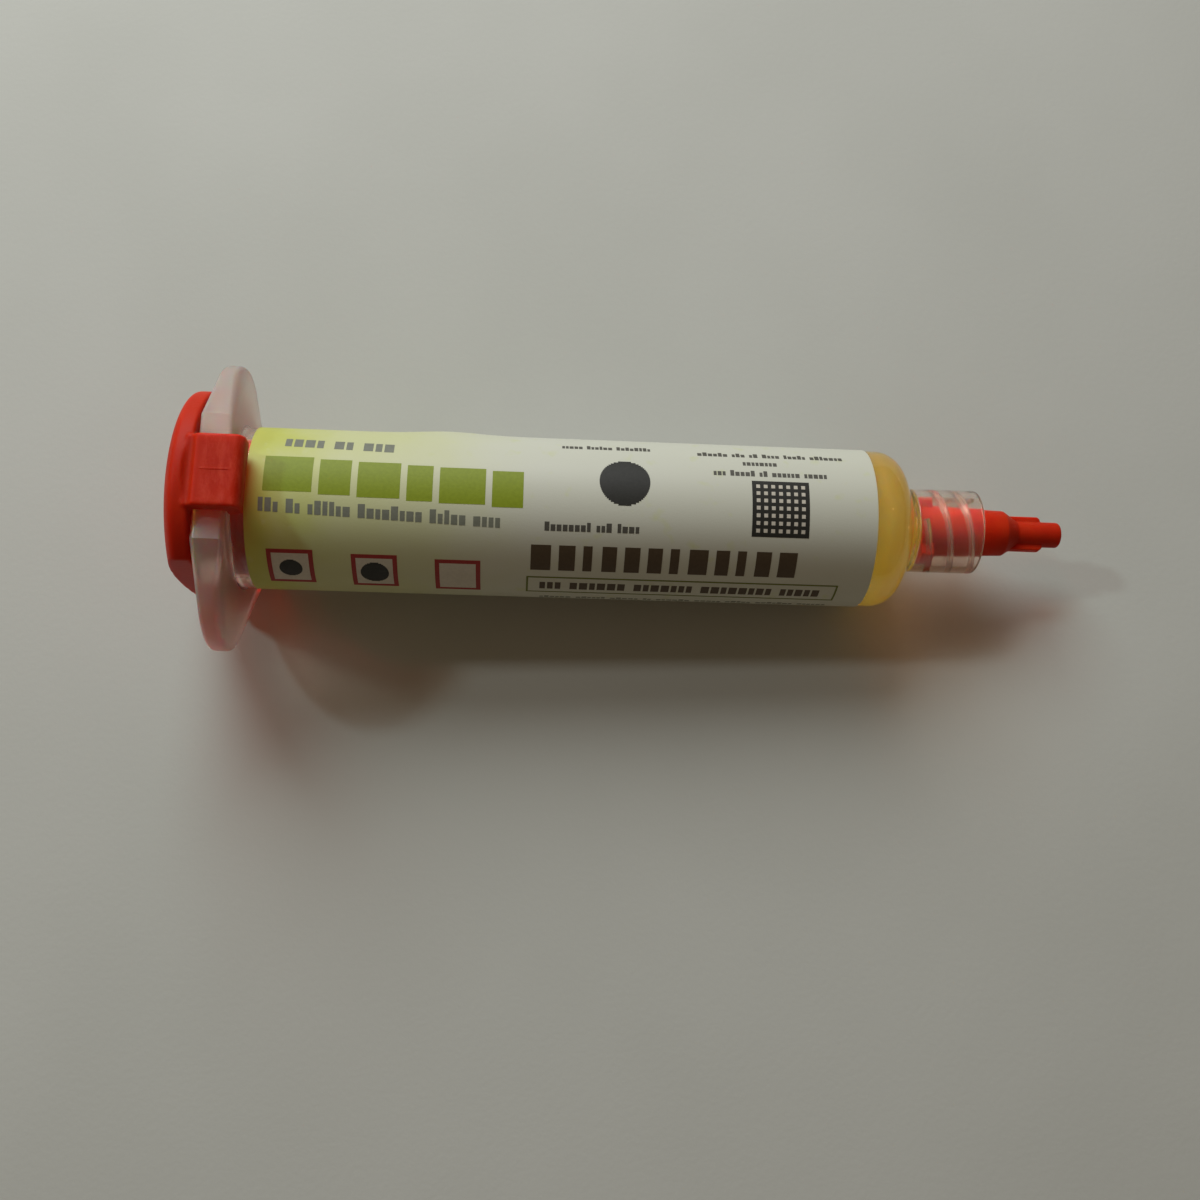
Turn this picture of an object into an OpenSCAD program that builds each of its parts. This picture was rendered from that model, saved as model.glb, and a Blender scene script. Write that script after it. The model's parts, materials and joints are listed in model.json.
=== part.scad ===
// Flux syringe of ten cubic centimetres, capped at both ends and lying on its side.
// Each piece is drawn about the barrel's own axis, X: the flange's rear face is at x = 0
// and the nozzle points to +X. The whole is then tipped nose down, so that the lower clip
// of the end cap and the front of the barrel lie on the floor at z = 0, and it is moved
// along X until the middle of its length is over the origin.

/* [Barrel] */
// Inside diameter of the barrel
bore_d = 15.9; // [14.5:0.1:17]
// Thickness of the barrel's wall
wall = 1.15; // [0.9:0.05:1.5]
// Length from the flange's rear face to the start of the rounded shoulder
body_len = 75.6; // [64:0.2:110]
// Depth of the rounded shoulder along the axis
shoulder_len = 4; // [3:0.1:6]
// Radius of the shoulder's round edge
shoulder_round = 3.2; // [2:0.1:4]
// Steepness of the shoulder's cone, in degrees from the axis
shoulder_slope = 63; // [50:1:75]
// Chamfer that leads into the rear of the bore
entry_chamfer = 0.4; // [0.1:0.1:0.6]

/* [Flange] */
// Height of each flat above the barrel's wall
flat_rise = 1.9; // [1.5:0.1:3]
// Length of each flat
flat_len = 14; // [11:0.5:16]
// Reach of each ear beyond the barrel's wall
ear_rise = 7.5; // [6.5:0.1:10]
// Radius of the round tip of each ear
ear_r = 8.7; // [7.5:0.1:10]
// Thickness of the flange at its middle
flange_t = 3.5; // [2.4:0.1:4.5]
// Thickness of the ears at their tips
ear_t = 2.2; // [1.6:0.1:2.4]
// Distance that the ears' tips lie ahead of the rear face
ear_set = 0.4; // [0:0.1:0.8]
// Radius of the rounded rim of the flange
rim_round = 0.6; // [0.2:0.1:0.7]
// Radius of the fillet between the flange and the barrel
root_fillet = 0.4; // [0.1:0.1:0.6]

/* [Nozzle] */
// Outside diameter of the lock skirt
skirt_d = 9.8; // [9.6:0.1:11]
// Inside diameter of the lock skirt at the root of its thread
skirt_in_d = 8; // [7.9:0.05:8.4]
// Length of the lock skirt in front of the shoulder
skirt_len = 8.3; // [6.6:0.1:10]
// Step between the rounded shoulder and the skirt
neck_step = 0.1; // [0.1:0.1:0.8]
// Depth from the shoulder's face to the floor inside the skirt
skirt_floor = 0.7; // [0.1:0.1:1.2]
// Chamfer on both edges of the skirt's mouth
mouth_chamfer = 0.2; // [0.05:0.05:0.3]
// Reach of the conical tip beyond the skirt's mouth
tip_reach = 2.1; // [1.6:0.1:3.4]
// Diameter of the conical tip at its end
tip_d = 3.97; // [3.8:0.01:4.2]
// Growth of the cone's diameter over each millimetre of length
luer_taper = 0.06; // [0.03:0.01:0.07]
// Diameter of the hole through the tip
tip_bore_d = 2.2; // [1.6:0.1:2.6]

/* [Label] */
// Distance from the flange's rear face to the label's rear edge
label_start = 4.9; // [4.9:0.1:12]
// Length of the label
label_len = 69.2; // [40:0.1:71]
// Thickness of the label
label_t = 0.1; // [0.06:0.02:0.2]

/* [End cap] */
// Thickness of the cap's rim along the axis
cap_rim_t = 1.6; // [1.2:0.1:2.4]
// Height of the dome above the rim
dome_rise = 2.6; // [1:0.1:4]
// Thickness of the dome over the hollow plug
dome_wall = 1.5; // [1:0.1:2.2]
// Distance of the finger flat on the disc from the axis
grip_flat = 9; // [8.4:0.1:12]
// Depth of the disc's edge inside the outer faces of the clips
disc_inset = 0.1; // [0:0.05:0.6]
// Radius on the front edge of the disc
disc_edge = 0.3; // [0.1:0.1:0.6]
// Length of the plug inside the bore
plug_len = 8; // [6:0.1:9]
// Thickness of the plug's wall
plug_wall = 1.2; // [0.8:0.1:1.6]
// Height of the sealing bead above the plug's wall
bead_h = 0.25; // [0.15:0.01:0.35]
// Width of the sealing bead
bead_w = 1.6; // [1:0.1:2.4]
// Length of the ramp behind the sealing bead
bead_ramp = 0.5; // [0.2:0.1:0.8]
// Width of each clip
clip_w = 8; // [6:0.1:10]
// Thickness of each clip's arm
clip_t = 1.95; // [1.4:0.05:2.4]
// Length of each hook along the axis
hook_len = 1.7; // [1.4:0.1:2.2]
// Radius of the round outer corner of each hook
hook_round = 1.1; // [0.6:0.1:1.3]
// Slope that leads each hook over the flange
hook_lead = 0.8; // [0.3:0.1:1]
// Radius of the groove at the root of each arm
groove_r = 0.7; // [0.5:0.1:0.9]
// Depth of the groove at the root of each arm
groove_depth = 0.5; // [0.2:0.05:0.8]
// Distance of the groove behind the flange's rear face
groove_back = 0.3; // [0.1:0.1:0.6]

/* [Tip cap] */
// Distance from the skirt's floor to the rear end of the tip cap
cap_clear = 0.7; // [0.3:0.1:1.2]
// Diameter of the cap's body at its rear end
cap_rear_d = 6; // [5.8:0.1:6.4]
// Diameter of the cap's body in front
cap_front_d = 5.3; // [5.1:0.1:5.8]
// Length of the conical seat on the tip
seat_len = 5; // [4:0.1:6]
// Thickness of the cap's end wall
cap_nose_t = 1.1; // [0.5:0.1:1.4]
// Length of the cone between the body and the knob
cap_cone_len = 1.7; // [0.8:0.1:3]
// Diameter of the knob
knob_d = 3; // [2.4:0.1:3.4]
// Length of the knob in front of the cone
knob_len = 5.2; // [4.4:0.1:8]
// Radius on the end of the knob
knob_round = 0.35; // [0.1:0.05:0.6]
// Distance across the two wings
wing_span = 4.1; // [3.8:0.1:5]
// Length of the wings in front of the cone
wing_len = 3; // [2:0.1:4]
// Chamfer on the front corners of the wings
wing_corner = 0.3; // [0.2:0.1:1]
// Thickness of the wings
wing_t = 1.1; // [0.8:0.1:1.4]
// Distance across the two lugs
lug_span = 7.8; // [7:0.1:7.8]
// Length of the lugs along the axis
lug_len = 1.5; // [1:0.1:2]
// Width of the lugs
lug_w = 4.4; // [3:0.1:5]

/* [Piston] */
// Distance from the flange's rear face to the piston's rear end
piston_start = 10.5; // [10:0.1:30]
// Length of the piston
piston_len = 14; // [11:0.1:18]
// Width of the wiper at each end of the piston
wiper_w = 1.6; // [1:0.1:2.4]
// Depth of the waist between the wipers
waist_depth = 0.45; // [0.2:0.05:0.8]
// Wall between the waist and the hollow
piston_wall = 1.5; // [1:0.1:2.2]
// Thickness of the piston's front wall
piston_front_t = 2.5; // [1.5:0.1:4]
// Thickness of the four ribs in the hollow
piston_rib_t = 1; // [0.8:0.1:1.6]
// Reach of the ribs from the wall of the hollow
piston_rib_reach = 2.7; // [1.4:0.1:3.4]

/* [Fits] */
// Gap between the disc and the flange
disc_gap = 0.05; // [0.02:0.01:0.2]
// Gap between the arms and the flats, and between the hooks and the flange
clip_gap = 0.12; // [0.05:0.01:0.25]
// Gap between the hooks and the label
hook_gap = 0.45; // [0.3:0.05:0.7]
// Radial gap of the sealing bead in the bore
bead_fit = 0.04; // [0.02:0.01:0.1]
// Radial gap of the wipers in the bore
wiper_fit = 0.03; // [0.02:0.01:0.1]
// Radial gap of the cap's seat on the tip
seat_fit = 0.02; // [0.01:0.01:0.06]
// Radial gap between the cap's sleeve and the root of the tip
sleeve_gap = 0.12; // [0.08:0.01:0.2]
// Gap in front of the tip inside the cap
tip_gap = 0.4; // [0.2:0.1:0.8]

/* [Hidden] */
$fn = 96;
hull_fn = 48;
arc_step = 7.5;
overlap = 0.2;

bore_r = bore_d / 2;
barrel_r = bore_r + wall;
label_r = barrel_r + label_t;
flat_z = barrel_r + flat_rise;
ear_tip = barrel_r + ear_rise;
nose_x = body_len + shoulder_len;
floor_x = nose_x + skirt_floor;
mouth_x = nose_x + skirt_len;
tip_x = mouth_x + tip_reach;
skirt_r = skirt_d / 2;
skirt_in_r = skirt_in_d / 2;
neck_r = skirt_r + neck_step;
tip_end_r = tip_d / 2;
tip_bore_r = tip_bore_d / 2;
label_end = label_start + label_len;

clip_in = flat_z + clip_gap;
clip_out = clip_in + clip_t;
hook_start = flange_t + clip_gap;
hook_end = hook_start + hook_len;
hook_in = label_r + hook_gap;
hook_round_x = hook_end - hook_round;
hook_round_z = clip_out - hook_round;
arm_start = -groove_back - groove_r / 2;
disc_r = clip_out - disc_inset;
plug_r = bore_r - bead_fit - bead_h;

cap_rear = floor_x + cap_clear;
cap_seat = tip_x - seat_len;
cap_blind = tip_x + tip_gap;
cap_body_end = cap_blind + cap_nose_t;
cap_cone_end = cap_body_end + cap_cone_len;
cap_end = cap_cone_end + knob_len;
piston_front = piston_start + piston_len;
piston_r = bore_r - wiper_fit;
waist_r = piston_r - waist_depth;
hollow_r = waist_r - piston_wall;

// Radius of the conical tip at any x
function tip_r_at(x) = tip_end_r + (tip_x - x) * luer_taper / 2;

// Slope of the floor that touches a clip's round corner and a point of the barrel at x, r
function floor_slope(x, r) =
    let (dx = x - hook_round_x, dz = hook_round_z - r)
    atan2(dz, dx) + asin(hook_round / norm([dx, dz]));

tilt = min(floor_slope(body_len, barrel_r), floor_slope(label_end, label_r));
lift = hook_round_z * cos(tilt) + hook_round_x * sin(tilt) + hook_round;
rear_reach = cap_rim_t * cos(tilt) + norm([dome_rise * cos(tilt), disc_r * sin(tilt)]);
front_reach = (cap_end - knob_round) * cos(tilt) + (knob_d / 2 - knob_round) * sin(tilt) + knob_round;
shift = (rear_reach - front_reach) / 2;

// Quarter of an ellipse from r = outer_r, x = base to r = inner_r, x = base + depth
function quarter(outer_r, inner_r, base, depth) =
    [for (a = [0 : arc_step : 90]) [inner_r + (outer_r - inner_r) * cos(a), base + depth * sin(a)]];

function backwards(points) = [for (i = [len(points) - 1 : -1 : 0]) points[i]];

// Shoulder of a wall with radius outer_r: an arc of radius round_r, then a cone down to inner_r
function shoulder(outer_r, inner_r, round_r, depth) = concat(
    [for (a = [0 : shoulder_slope / 9 : shoulder_slope + 0.01])
        [outer_r - round_r * (1 - cos(a)), body_len + round_r * sin(a)]],
    [[inner_r, body_len + depth]]
);

cavity_arc = shoulder(bore_r, tip_bore_r, shoulder_round - wall, shoulder_len - wall);

module lying() {
    translate([shift, 0, lift])
        rotate([0, tilt, 0])
            children();
}

// Turns a profile of [radius, x] points about the barrel's axis
module turned(points, fn = $fn) {
    rotate([0, 90, 0])
        rotate_extrude($fn = fn)
            polygon(points);
}

// A rod along X from x = start to x = end
module rod(r, start, end) {
    translate([start, 0, 0])
        rotate([0, 90, 0])
            cylinder(h = end - start, r = r);
}

// One tapered ear tip with a rounded rim
module ear_disc() {
    corner = [for (a = [0 : 30 : 90]) [ear_r - rim_round + rim_round * cos(a), rim_round * sin(a)]];
    front = [for (p = corner) [p[0], ear_set + ear_t - rim_round + p[1]]];
    rear = [for (p = backwards(corner)) [p[0], ear_set + rim_round - p[1]]];
    turned(concat([[0, ear_set]], rear, front, [[0, ear_set + ear_t]]), hull_fn);
}

// Middle of the flange between the two flats, with the same rounded rim
module flange_middle() {
    for (side = [-1, 1])
        for (x = [rim_round, flange_t - rim_round])
            translate([x, 0, side * (flat_z - rim_round)])
                rotate([90, 0, 0])
                    cylinder(h = flat_len, r = rim_round, center = true, $fn = 24);
}

module flange() {
    difference() {
        hull() {
            flange_middle();
            for (side = [-1, 1])
                translate([0, side * (ear_tip - ear_r), 0])
                    ear_disc();
        }
        rod(bore_r + wall / 2, -overlap, flange_t + overlap);
    }
}

// Section of the barrel's wall: out along the outside, round the nozzle and back inside
function barrel_section() = concat(
    [[bore_r + entry_chamfer, 0], [barrel_r + root_fillet, 0]],
    [for (a = [0 : 22.5 : 90])
        [barrel_r + root_fillet * (1 - sin(a)), flange_t + root_fillet * (1 - cos(a))]],
    shoulder(barrel_r, neck_r, shoulder_round, shoulder_len),
    [
        [skirt_r, nose_x],
        [skirt_r, mouth_x - mouth_chamfer],
        [skirt_r - mouth_chamfer, mouth_x],
        [skirt_in_r + mouth_chamfer, mouth_x],
        [skirt_in_r, mouth_x - mouth_chamfer],
        [skirt_in_r, floor_x],
        [tip_r_at(floor_x), floor_x],
        [tip_end_r, tip_x],
        [tip_bore_r, tip_x]
    ],
    backwards(cavity_arc),
    [[bore_r, entry_chamfer]]
);

// One clear moulding: eared flange, tube, shoulder, conical tip and lock skirt
module barrel() {
    color([0.86, 0.82, 0.78, 0.45])
        lying() {
            turned(barrel_section());
            flange();
        }
}

// Paper label wrapped once round the barrel
module label() {
    color([0.9, 0.9, 0.8])
        lying()
            turned([
                [barrel_r, label_start],
                [label_r, label_start],
                [label_r, label_end],
                [barrel_r, label_end]
            ]);
}

// The fill of flux: it takes the shape of everything in front of the piston
module flux() {
    color([0.8, 0.6, 0.2, 0.8])
        lying()
            turned(concat(
                [[0, piston_front], [bore_r, piston_front]],
                cavity_arc,
                [[tip_bore_r, tip_x], [0, tip_x]]
            ));
}

module piston() {
    color([0.75, 0.2, 0.1])
        lying() {
            turned([
                [0, piston_front - piston_front_t],
                [hollow_r, piston_front - piston_front_t],
                [hollow_r, piston_start],
                [waist_r, piston_start],
                [piston_r, piston_start + waist_depth],
                [piston_r, piston_start + wiper_w],
                [waist_r, piston_start + wiper_w + waist_depth],
                [waist_r, piston_front - wiper_w - waist_depth],
                [piston_r, piston_front - wiper_w],
                [piston_r, piston_front],
                [0, piston_front]
            ]);
            piston_ribs();
        }
}

// Four ribs that stiffen the hollow from its wall towards the middle
module piston_ribs() {
    rib_rear = piston_start + wiper_w;
    rib_len = piston_front - piston_front_t / 2 - rib_rear;
    for (turn = [45 : 90 : 315])
        rotate([turn, 0, 0])
            translate([rib_rear, hollow_r - piston_rib_reach, -piston_rib_t / 2])
                cube([rib_len, piston_rib_reach + piston_wall / 2, piston_rib_t]);
}

// Section of the domed disc and its hollow plug
function end_cap_section() = concat(
    backwards(quarter(disc_r, 0, cap_rim_t, dome_rise)) * [[1, 0], [0, -1]],
    [
        [disc_r, -disc_gap - disc_edge],
        [disc_r - disc_edge, -disc_gap],
        [plug_r, -disc_gap],
        [plug_r, plug_len - 2 * bead_w],
        [plug_r + bead_h, plug_len - 2 * bead_w + bead_ramp],
        [plug_r + bead_h, plug_len - bead_w],
        [plug_r - bead_h, plug_len],
        [plug_r - plug_wall, plug_len],
        [plug_r - plug_wall, -cap_rim_t - dome_rise + 2 * dome_wall],
        [plug_r - plug_wall - dome_wall / 2, -cap_rim_t - dome_rise + dome_wall],
        [0, -cap_rim_t - dome_rise + dome_wall]
    ]
);

// Side view of one clip, in x and z: arm, hook and the round corner that lies on the floor
module clip_outline() {
    translate([arm_start, clip_in])
        square([hook_start - arm_start, clip_t]);
    difference() {
        union() {
            translate([hook_start, hook_in])
                square([hook_len, hook_round_z - hook_in]);
            translate([hook_start, hook_round_z])
                square([hook_len - hook_round, hook_round]);
            intersection() {
                translate([hook_round_x, hook_round_z])
                    circle(r = hook_round);
                translate([hook_round_x, hook_round_z])
                    square(hook_round);
            }
        }
        polygon([
            [hook_end - hook_lead, hook_in - overlap],
            [hook_end + overlap, hook_in - overlap],
            [hook_end + overlap, hook_in + hook_lead + overlap]
        ]);
    }
}

module clip() {
    rotate([90, 0, 0])
        linear_extrude(clip_w, center = true)
            clip_outline();
}

// Groove across the root of a clip, where its arm bends
module clip_groove() {
    translate([-groove_back, 0, clip_out - groove_depth + groove_r])
        rotate([90, 0, 0])
            cylinder(h = clip_w + 2 * overlap, r = groove_r, center = true);
}

// Slab that cuts the finger flat into one side of the disc
module grip_cut() {
    reach = disc_r + overlap;
    translate([-cap_rim_t - dome_rise - overlap, -grip_flat - reach, -reach])
        cube([cap_rim_t + dome_rise + overlap, reach, 2 * reach]);
}

// One moulding: domed disc, hollow plug and two spring clips that hold the flange's flats
module end_cap() {
    color([0.85, 0.22, 0.1])
        lying()
            difference() {
                union() {
                    turned(end_cap_section());
                    for (side = [0, 180])
                        rotate([side, 0, 0])
                            clip();
                }
                for (side = [0, 180])
                    rotate([side, 0, 0])
                        clip_groove();
                grip_cut();
            }
}

// Section of the tip cap: loose sleeve, conical seat, blind end, body, cone and knob
function tip_cap_section() = concat(
    [
        [tip_r_at(cap_rear) + sleeve_gap, cap_rear],
        [cap_rear_d / 2, cap_rear],
        [cap_front_d / 2, cap_body_end],
        [knob_d / 2, cap_cone_end]
    ],
    quarter(knob_d / 2, knob_d / 2 - knob_round, cap_end - knob_round, knob_round),
    [
        [0, cap_end],
        [0, cap_blind],
        [tip_end_r + seat_fit, cap_blind],
        [tip_end_r + seat_fit, tip_x],
        [tip_r_at(cap_seat) + seat_fit, cap_seat],
        [tip_r_at(cap_rear) + sleeve_gap, cap_seat - overlap]
    ]
);

// Flat blade that forms both wings beside the knob
module wings() {
    half = wing_span / 2;
    end = cap_cone_end + wing_len;
    rear = cap_body_end - overlap;
    translate([0, 0, -wing_t / 2])
        linear_extrude(wing_t)
            polygon([
                [rear, -half],
                [end - wing_corner, -half],
                [end, wing_corner - half],
                [end, half - wing_corner],
                [end - wing_corner, half],
                [rear, half]
            ]);
}

// Two lugs that catch the thread inside the lock skirt
module lugs() {
    difference() {
        intersection() {
            rod(lug_span / 2, cap_rear, cap_rear + lug_len);
            translate([cap_rear, -lug_span / 2, -lug_w / 2])
                cube([lug_len, lug_span, lug_w]);
        }
        rod(cap_rear_d / 2 - overlap, cap_rear - overlap, cap_rear + lug_len + overlap);
    }
}

// One moulding: body with a conical seat, lugs, wings and a knob
module tip_cap() {
    color([0.8, 0.2, 0.08])
        lying() {
            turned(tip_cap_section());
            lugs();
            wings();
        }
}

barrel();
label();
flux();
piston();
end_cap();
tip_cap();
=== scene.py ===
# %% [markdown]
# # A syringe of solder flux, dressed for a close-up
#
# The CAD model gives the syringe its exact sizes. This lesson dresses it in Blender: a milky clear
# barrel, a printed paper label, an amber gel and two moulded caps. Each step first says what the
# real piece is, how it could be made, and why this way was chosen.

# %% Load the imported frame
import json
import math
import random

import bmesh
import bpy
from mathutils import Matrix, Vector


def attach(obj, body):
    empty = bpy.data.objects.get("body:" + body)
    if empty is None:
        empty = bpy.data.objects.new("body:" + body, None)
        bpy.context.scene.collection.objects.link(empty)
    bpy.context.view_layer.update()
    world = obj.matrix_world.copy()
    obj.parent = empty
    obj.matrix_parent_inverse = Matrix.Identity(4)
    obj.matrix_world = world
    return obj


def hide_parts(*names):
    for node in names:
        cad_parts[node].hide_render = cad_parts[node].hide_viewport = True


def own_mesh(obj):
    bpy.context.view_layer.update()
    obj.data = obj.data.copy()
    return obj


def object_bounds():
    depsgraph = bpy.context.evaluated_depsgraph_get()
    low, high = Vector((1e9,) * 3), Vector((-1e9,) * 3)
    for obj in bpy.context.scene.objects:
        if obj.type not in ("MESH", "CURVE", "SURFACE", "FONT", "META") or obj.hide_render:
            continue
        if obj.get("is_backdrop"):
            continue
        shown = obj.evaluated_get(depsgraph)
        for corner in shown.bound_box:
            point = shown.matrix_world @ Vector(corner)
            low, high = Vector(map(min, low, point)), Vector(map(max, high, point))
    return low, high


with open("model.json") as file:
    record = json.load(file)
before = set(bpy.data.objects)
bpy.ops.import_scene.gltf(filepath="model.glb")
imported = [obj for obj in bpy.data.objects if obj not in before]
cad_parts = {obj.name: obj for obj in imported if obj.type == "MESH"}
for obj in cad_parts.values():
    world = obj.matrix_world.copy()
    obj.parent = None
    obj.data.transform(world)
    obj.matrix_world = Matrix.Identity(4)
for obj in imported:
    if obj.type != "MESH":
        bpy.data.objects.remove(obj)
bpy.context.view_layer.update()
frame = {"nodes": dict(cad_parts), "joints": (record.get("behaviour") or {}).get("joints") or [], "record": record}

print("nodes of the frame:", sorted(frame["nodes"]))

# %% [markdown]
# ## The syringe's own axes
#
# The real syringe lies tipped a little nose down, on the hook of its end cap's lower clip and on
# the front edge of its label. Drawing on a tipped axis is awkward, so every piece here is drawn in
# millimetres about the barrel's axis, X, with x = 0 at the flange's rear face. One matrix then lays
# the finished mesh down. The matrix comes from the frame's own joint axis and mount, so it can't
# drift from them.

# %% The matrix that lays a piece down
MILLIMETRE = 0.001
slide_axis = next(j["axis"] for j in frame["joints"] if j["name"] == "piston_slide")
flange_seat = next(m["pos_m"] for m in frame["record"]["mounts"] if m["name"] == "flange_lock")
tilt = math.atan2(-slide_axis[2], slide_axis[0])
lying = (
    Matrix.Translation(flange_seat)
    @ Matrix.Rotation(tilt, 4, "Y")
    @ Matrix.Diagonal((MILLIMETRE, MILLIMETRE, MILLIMETRE, 1.0))
)
print(f"the barrel dips {math.degrees(tilt):.2f} degrees towards its nose")

# %% [markdown]
# ## Camera
#
# The picture was taken from almost straight above, by hand, with the syringe a little left of the
# middle. A camera could be aimed by eye, but a fit of the barrel's edges, the label's ends and the
# flange's outline gives its place, its turn and its lens much more closely.

# %% Camera
lens_data = bpy.data.cameras.new("camera")
lens_data.lens = 37.87
lens_data.sensor_width = 36.0
lens_data.clip_start = 0.005
lens_data.clip_end = 20.0
camera = bpy.data.objects.new("camera", lens_data)
camera.location = (-0.004624, -0.0449, 0.151072)
camera.rotation_euler = [math.radians(a) for a in (14.11735, -0.79721, 0.78041)]
bpy.context.scene.collection.objects.link(camera)
bpy.context.scene.camera = camera
print("camera height above the floor:", round(camera.location.z, 3), "m")

# %% [markdown]
# ## Helpers for shapes
#
# Nearly every part of a syringe is turned: barrel, gel, plug and knob are all a profile spun about
# one axis. A Screw modifier can spin a profile, but a short function that writes the rings itself
# closes the poles cleanly and gives even quads. Corners of a moulding are never sharp, so a second
# function rounds the profile before it is spun.

# %% Round a profile and spin it
def rounded(corners, steps=6):
    """Corners are (radius, x, fillet); each fillet becomes a short arc."""
    points = []
    for i, (radius, x, fillet) in enumerate(corners):
        here = Vector((radius, x))
        if not fillet:
            points.append(here)
            continue
        back = (Vector(corners[i - 1][:2]) - here).normalized()
        ahead = (Vector(corners[(i + 1) % len(corners)][:2]) - here).normalized()
        half = back.angle(ahead) / 2
        reach = fillet / math.tan(half)
        centre = here + (back + ahead).normalized() * (fillet / math.sin(half))
        first, last = here + back * reach - centre, here + ahead * reach - centre
        sweep = first.angle(last)
        for step in range(steps + 1):
            share = step / steps
            a, b = math.sin((1 - share) * sweep), math.sin(share * sweep)
            points.append(centre + (first * a + last * b) / math.sin(sweep))
    return points


def quarter(outer, inner, base, depth, steps=20):
    """A quarter ellipse from (outer, base) to (inner, base + depth), as corners without fillets."""
    turns = [math.pi / 2 * step / steps for step in range(steps + 1)]
    return [(inner + (outer - inner) * math.cos(a), base + depth * math.sin(a), 0) for a in turns]


def spun(profile, segments=144):
    """Spins a profile of (radius, x) about X and returns a closed bmesh."""
    shape = bmesh.new()
    angles = [2 * math.pi * k / segments for k in range(segments)]
    rings = []
    for radius, x in profile:
        if radius < 1e-6:
            rings.append([shape.verts.new((x, 0, 0))])
        else:
            rings.append([
                shape.verts.new((x, radius * math.cos(a), radius * math.sin(a))) for a in angles
            ])
    for ring, following in zip(rings, rings[1:] + rings[:1]):
        for k in range(segments):
            j = (k + 1) % segments
            quad = [ring[k % len(ring)], ring[j % len(ring)]]
            quad += [following[j % len(following)], following[k % len(following)]]
            corners = list(dict.fromkeys(quad))
            if len(corners) > 2:
                shape.faces.new(corners)
    bmesh.ops.recalc_face_normals(shape, faces=shape.faces)
    return shape


# %% [markdown]
# ## Helpers for joining
#
# A moulding is one piece of plastic, so its parts have to become one skin. A boolean keeps edges
# crisp, which suits the thin clear flange. A voxel remesh melts parts together and leaves the soft
# corners of a cheap injection moulding, which suits the caps.

# %% Join, cut, melt and lay down
def as_object(shape, name):
    mesh = bpy.data.meshes.new(name)
    shape.to_mesh(mesh)
    shape.free()
    piece = bpy.data.objects.new(name, mesh)
    bpy.context.scene.collection.objects.link(piece)
    return piece


def settle(piece):
    """Replaces a piece's mesh by what its modifiers make of it, and removes them."""
    evaluated = piece.evaluated_get(bpy.context.evaluated_depsgraph_get())
    mesh = bpy.data.meshes.new_from_object(evaluated)
    piece.modifiers.clear()
    piece.data = mesh
    return piece


def boolean(piece, tool, operation):
    modifier = piece.modifiers.new("boolean", "BOOLEAN")
    modifier.operation = operation
    modifier.solver = "EXACT"
    modifier.object = tool
    settle(piece)
    bpy.data.objects.remove(tool)
    return piece


def melted(piece, grain, rounds):
    """Remeshes a piece with voxels of one grain size and relaxes the result."""
    remesh = piece.modifiers.new("remesh", "REMESH")
    remesh.mode = "VOXEL"
    remesh.voxel_size = grain
    relax = piece.modifiers.new("relax", "SMOOTH")
    relax.factor = 0.5
    relax.iterations = rounds
    return settle(piece)


def laid_down(piece, crease=180.0):
    """Moves a piece's mesh from the syringe's own axes to the floor and smooths its shading."""
    piece.data.transform(lying)
    shape = bmesh.new()
    shape.from_mesh(piece.data)
    limit = math.radians(crease)
    for edge in shape.edges:
        edge.smooth = len(edge.link_faces) == 2 and edge.calc_face_angle() < limit
    for face in shape.faces:
        face.smooth = True
    shape.to_mesh(piece.data)
    shape.free()
    return piece


def report(piece):
    triangles = sum(len(p.vertices) - 2 for p in piece.data.polygons)
    print(f"{piece.name}: {triangles} triangles")
    return piece


# %% [markdown]
# ## Helpers for finishes
#
# Every finish starts as one Principled shader. Values that are the same all over are set on the
# shader's own sockets. What varies, such as a mottled colour or a fine bump, is added as nodes that
# read coordinates in millimetres about the barrel's axis, so a pattern stays in place on the piece.

# %% Finishes
def shader_of(material):
    return material.node_tree.nodes["Principled BSDF"]


def plug(tree, value, socket):
    """Links another node's output to a socket, or sets a plain value on it."""
    if isinstance(value, bpy.types.NodeSocket):
        tree.links.new(value, socket)
    else:
        socket.default_value = value


def finish(name, colour, roughness, **sockets):
    """A material with one Principled shader. Keyword names are socket names with _ for spaces."""
    material = bpy.data.materials.new(name)
    material.use_nodes = True
    shader = shader_of(material)
    shader.inputs["Base Color"].default_value = (*colour, 1.0)
    shader.inputs["Roughness"].default_value = roughness
    for socket, value in sockets.items():
        shader.inputs[socket.replace("_", " ")].default_value = value
    material.diffuse_color = (*colour, 1.0)
    return material


def coat(piece, material):
    """Gives a piece one finish all over."""
    piece.data.materials.clear()
    piece.data.materials.append(material)


def add(material, kind, **inputs):
    """Adds one node; inputs are values or other nodes' output sockets, by socket name."""
    made = material.node_tree.nodes.new(kind)
    for name, value in inputs.items():
        plug(material.node_tree, value, made.inputs[name.replace("_", " ")])
    return made


def drive(material, value, socket):
    """Lets a node's output set one socket of the finish's own shader."""
    plug(material.node_tree, value, shader_of(material).inputs[socket])


# %% Coordinates and sums for finishes
def barrel_coordinates(material):
    """Coordinates in millimetres about the barrel's axis."""
    place = add(material, "ShaderNodeTexCoord").outputs["Object"]
    mapping = add(material, "ShaderNodeMapping", Vector=place, Location=flange_seat,
                  Rotation=(0, tilt, 0), Scale=(MILLIMETRE,) * 3)
    mapping.vector_type = "TEXTURE"
    return mapping.outputs["Vector"]


def off_axis(material):
    """Distance from the barrel's axis in millimetres."""
    where = barrel_coordinates(material)
    sideways = add(material, "ShaderNodeMapping", Vector=where, Scale=(0, 1, 1))
    length = add(material, "ShaderNodeVectorMath", Vector=sideways.outputs["Vector"])
    length.operation = "LENGTH"
    return length.outputs["Value"]


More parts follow.
